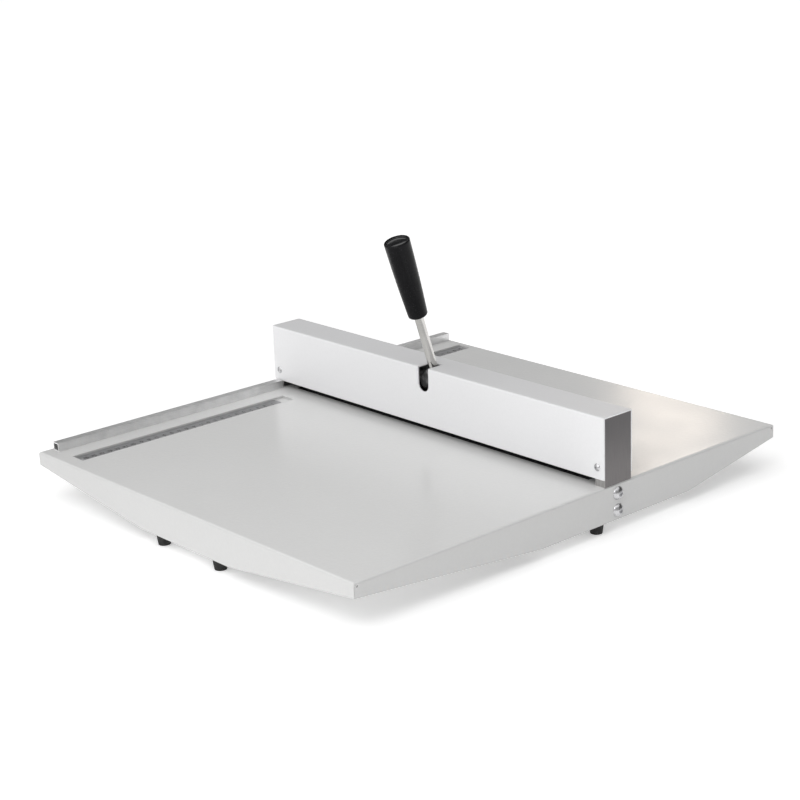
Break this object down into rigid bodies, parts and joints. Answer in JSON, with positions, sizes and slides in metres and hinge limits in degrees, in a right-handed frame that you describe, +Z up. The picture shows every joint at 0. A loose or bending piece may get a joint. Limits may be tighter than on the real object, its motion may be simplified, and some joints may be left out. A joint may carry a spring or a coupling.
{
  "type": "paper creasing press",
  "caption": "Low table press that creases paper: a hand lever turns cams in a beam and drives a straight blade into a grooved strip in the folded sheet-metal table.",
  "frame": {"origin": "on the ground, under the centre of the table", "axes": "+X along the beam, to the right seen from the feed side; +Y from the feed side to the delivery side; +Z up"},
  "size_m": [0.528, 0.592, 0.2705],
  "materials": {
    "table_paint": "semi-gloss powder coat, pale grey",
    "cover_paint": "satin powder coat, white",
    "bed_steel": "cold drawn",
    "matrix_steel": "blackened",
    "block_steel": "ground, dark",
    "bright_screws": "zinc plated, bright",
    "black_screws": "blackened",
    "bush_bronze": "sintered bronze",
    "ground_steel": "ground",
    "polished_steel": "polished",
    "grip_plastic": "moulded, satin black",
    "cap_polish": "polished, black",
    "holder_black": "blackened",
    "blade_steel": "hardened, ground",
    "spring_steel": "drawn wire",
    "guide_alloy": "satin anodised",
    "rule_steel": "satin",
    "foot_rubber": "moulded, matt black"
  },
  "bodies": {
    "frame": {"base_pan": "table_paint", "bed_bar": "bed_steel", "creasing_matrix": "matrix_steel", "matrix_screws": "bright_screws", "left_end_block": "block_steel", "right_end_block": "block_steel", "left_side_screws": "bright_screws", "right_side_screws": "bright_screws", "beam_cover": "cover_paint", "cover_screws": "bright_screws", "left_shaft_bush": "bush_bronze", "right_shaft_bush": "bush_bronze", "left_return_springs": "spring_steel", "right_return_springs": "spring_steel", "front_side_guide": "guide_alloy", "back_side_guide": "guide_alloy", "front_guide_screws": "bright_screws", "back_guide_screws": "bright_screws", "front_rule_channel": "table_paint", "back_rule_channel": "table_paint", "front_rule": "rule_steel", "back_rule": "rule_steel", "front_left_foot": "foot_rubber", "front_right_foot": "foot_rubber", "left_foot": "foot_rubber", "right_foot": "foot_rubber", "back_left_foot": "foot_rubber", "back_right_foot": "foot_rubber", "foot_screws": "bright_screws", "foot_nuts": "bright_screws"},
    "lever": {"cam_shaft": "ground_steel", "left_cam": "ground_steel", "right_cam": "ground_steel", "cam_set_screws": "black_screws", "lever_hub": "ground_steel", "hub_set_screws": "black_screws", "lever_rod": "polished_steel", "grip_retaining_screw": "bright_screws"},
    "grip": {"lever_grip": "grip_plastic", "grip_cap": "cap_polish"},
    "blade_carriage": {"blade_holder": "holder_black", "clamp_bar": "blade_steel", "creasing_blade": "blade_steel", "clamp_screws": "black_screws"}
  },
  "joints": [
    {"name": "lever_swing", "type": "hinge", "parent": "frame", "child": "lever", "pos_m": [0, 0.048, 0.1025], "axis": [1, 0, 0], "range_deg": [0, 73], "stiffness_Nm_per_rad": 0.3, "springref_deg": -53.29},
    {"name": "blade_press", "type": "slide", "parent": "frame", "child": "blade_carriage", "axis": [0, 0, -1], "range_m": [0, 0.0055], "deforming": ["left_return_springs", "right_return_springs"]},
    {"name": "grip_spin", "type": "hinge", "parent": "lever", "child": "grip", "pos_m": [0, 0.01023, 0.22376], "axis": [0, -0.2974, 0.9548], "continuous": true}
  ],
  "couplings": [
    {"joint": "blade_press", "follows": "lever_swing", "m_per_rad": 0.0043168}
  ]
}
